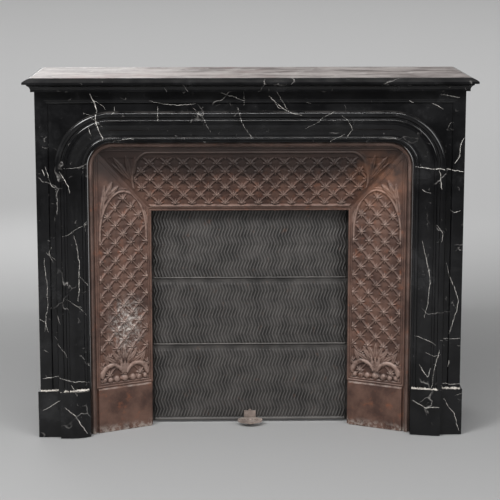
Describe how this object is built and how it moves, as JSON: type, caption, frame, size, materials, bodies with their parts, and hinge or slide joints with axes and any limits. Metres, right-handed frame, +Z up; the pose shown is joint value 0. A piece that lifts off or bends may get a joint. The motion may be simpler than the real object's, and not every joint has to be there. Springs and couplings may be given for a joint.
{
  "type": "marble fireplace",
  "caption": "Black veined marble fireplace surround with a splayed cast iron insert and a rising counterweighted sheet iron shutter.",
  "frame": {"origin": "on the floor, under the middle of the piece, halfway between the shelf's front nose and the wall", "axes": "+Z up, +Y back to the wall, +X to the right as seen from the room"},
  "size_m": [1.32, 0.39, 1.085],
  "materials": {
    "marble": "polished",
    "cast_iron": "satin",
    "sheet_iron": "satin",
    "dull_steel": "satin",
    "wrought_iron": "matte",
    "brass": "satin",
    "weight_iron": "matte"
  },
  "bodies": {
    "surround": {"mantel_shelf": "marble", "lintel": "marble", "left_jamb": "marble", "right_jamb": "marble", "left_plinth": "marble", "right_plinth": "marble", "left_return": "marble", "right_return": "marble", "left_return_plinth": "marble", "right_return_plinth": "marble", "lintel_dowels": "wrought_iron", "marble_cramps": "wrought_iron", "wall_ties": "wrought_iron", "left_guide_rail": "wrought_iron", "right_guide_rail": "wrought_iron", "head_bar": "wrought_iron", "left_pulley_bracket": "wrought_iron", "right_pulley_bracket": "wrought_iron", "insert_frame": "cast_iron", "insert_header": "cast_iron", "left_cheek": "cast_iron", "right_cheek": "cast_iron", "left_base_plate": "cast_iron", "right_base_plate": "cast_iron", "insert_screws": "dull_steel", "rail_screws": "dull_steel", "head_bar_bolts": "dull_steel", "leaf_stop_pins": "dull_steel", "tie_screws": "dull_steel", "left_pulley_axle": "dull_steel", "right_pulley_axle": "dull_steel", "left_leaf_cable": "dull_steel", "right_leaf_cable": "dull_steel", "left_weight_cable": "dull_steel", "right_weight_cable": "dull_steel", "left_cable_over_pulley": "dull_steel", "right_cable_over_pulley": "dull_steel"},
    "bottom_leaf": {"leaf_bottom": "sheet_iron", "shutter_handle": "cast_iron", "handle_rivets": "dull_steel", "lug_rivets": "dull_steel", "cable_ferrules": "dull_steel", "left_cable_lug": "sheet_iron", "right_cable_lug": "sheet_iron"},
    "middle_leaf": {"leaf_middle": "sheet_iron"},
    "top_leaf": {"leaf_top": "sheet_iron"},
    "left_wheel": {"left_pulley": "brass"},
    "right_wheel": {"right_pulley": "brass"},
    "left_weight": {"left_counterweight": "weight_iron", "left_weight_eye": "dull_steel"},
    "right_weight": {"right_counterweight": "weight_iron", "right_weight_eye": "dull_steel"}
  },
  "joints": [
    {"name": "shutter_rise", "type": "slide", "parent": "surround", "child": "bottom_leaf", "axis": [0, 0, 1], "range_m": [0, 0.65], "deforming": ["left_leaf_cable", "right_leaf_cable"]},
    {"name": "middle_leaf_rise", "type": "slide", "parent": "surround", "child": "middle_leaf", "axis": [0, 0, 1], "range_m": [0, 0.449]},
    {"name": "top_leaf_rise", "type": "slide", "parent": "surround", "child": "top_leaf", "axis": [0, 0, 1], "range_m": [0, 0.241]},
    {"name": "left_weight_drop", "type": "slide", "parent": "surround", "child": "left_weight", "axis": [0, 0, 1], "range_m": [-0.65, 0], "deforming": ["left_weight_cable"]},
    {"name": "right_weight_drop", "type": "slide", "parent": "surround", "child": "right_weight", "axis": [0, 0, 1], "range_m": [-0.65, 0], "deforming": ["right_weight_cable"]},
    {"name": "left_pulley_turn", "type": "hinge", "parent": "surround", "child": "left_wheel", "pos_m": [-0.3487, -0.0193, 0.955], "axis": [0, 1, 0], "range_deg": [-940, 0]},
    {"name": "right_pulley_turn", "type": "hinge", "parent": "surround", "child": "right_wheel", "pos_m": [0.3487, -0.0193, 0.955], "axis": [0, 1, 0], "range_deg": [0, 940]}
  ],
  "couplings": [
    {"joint": "middle_leaf_rise", "follows": "shutter_rise", "ratio": 0.69},
    {"joint": "top_leaf_rise", "follows": "shutter_rise", "ratio": 0.37},
    {"joint": "left_weight_drop", "follows": "shutter_rise", "ratio": -1},
    {"joint": "right_weight_drop", "follows": "shutter_rise", "ratio": -1},
    {"joint": "left_pulley_turn", "follows": "shutter_rise", "rad_per_m": -25.189},
    {"joint": "right_pulley_turn", "follows": "shutter_rise", "rad_per_m": 25.189}
  ]
}
